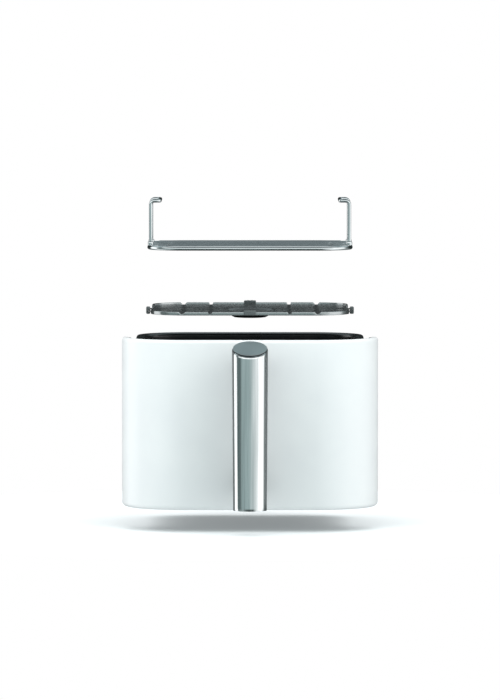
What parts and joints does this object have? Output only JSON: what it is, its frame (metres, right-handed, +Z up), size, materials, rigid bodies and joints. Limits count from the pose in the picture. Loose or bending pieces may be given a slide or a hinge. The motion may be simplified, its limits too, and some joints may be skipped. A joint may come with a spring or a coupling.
{
  "type": "air fryer drawer",
  "caption": "Air fryer drawer: curved white front panel with a polished column handle, deep non-stick basket, perforated crisper plate and a wire rack with lifting bails.",
  "frame": {"origin": "under the middle of the drawer's overall box, on the surface that it stands on", "axes": "+X to the right seen from the front, +Y from the front panel to the back of the basket, +Z up"},
  "size_m": [0.28, 0.322, 0.3365],
  "materials": {
    "white_shell": "smooth white with a soft gloss",
    "grey_trim": "fine satin texture",
    "inner_plastic": "fine moulded texture",
    "polished_steel": "polished, with faint vertical grain",
    "cap_metal": "satin grey",
    "black_plastic": "satin black",
    "bracket_steel": "plated sheet steel",
    "fastener_steel": "plated",
    "basket_coating": "glossy black non-stick coating",
    "plate_coating": "dark grey non-stick coating",
    "silicone": "grey silicone",
    "chrome_wire": "bright chrome-plated wire"
  },
  "bodies": {
    "drawer": {"front_shell": "white_shell", "front_inner_cover": "inner_plastic", "front_top_trim": "grey_trim", "front_screws": "fastener_steel", "switch_tab": "black_plastic", "heat_shield": "bracket_steel", "basket_bracket": "bracket_steel", "bracket_rivets": "fastener_steel", "handle_cover": "polished_steel", "handle_core": "black_plastic", "handle_cap": "cap_metal", "handle_foot_cap": "black_plastic", "handle_screws": "fastener_steel", "basket_pan": "basket_coating"},
    "plate": {"crisper_plate": "plate_coating", "plate_clip_left": "silicone", "plate_clip_right": "silicone", "plate_clip_front": "silicone", "plate_clip_rear": "silicone"},
    "rack": {"rack_frame": "chrome_wire", "rack_grid_wires": "chrome_wire", "rack_support_wires": "chrome_wire", "rack_bail_left": "chrome_wire", "rack_bail_right": "chrome_wire", "bail_collars": "chrome_wire"}
  },
  "joints": [
    {"name": "plate_lift", "type": "slide", "parent": "drawer", "child": "plate", "axis": [0, 0, 1], "range_m": [-0.1969, 0]},
    {"name": "rack_lift", "type": "slide", "parent": "plate", "child": "rack", "axis": [0, 0, 1], "range_m": [0, 0.1969]}
  ]
}
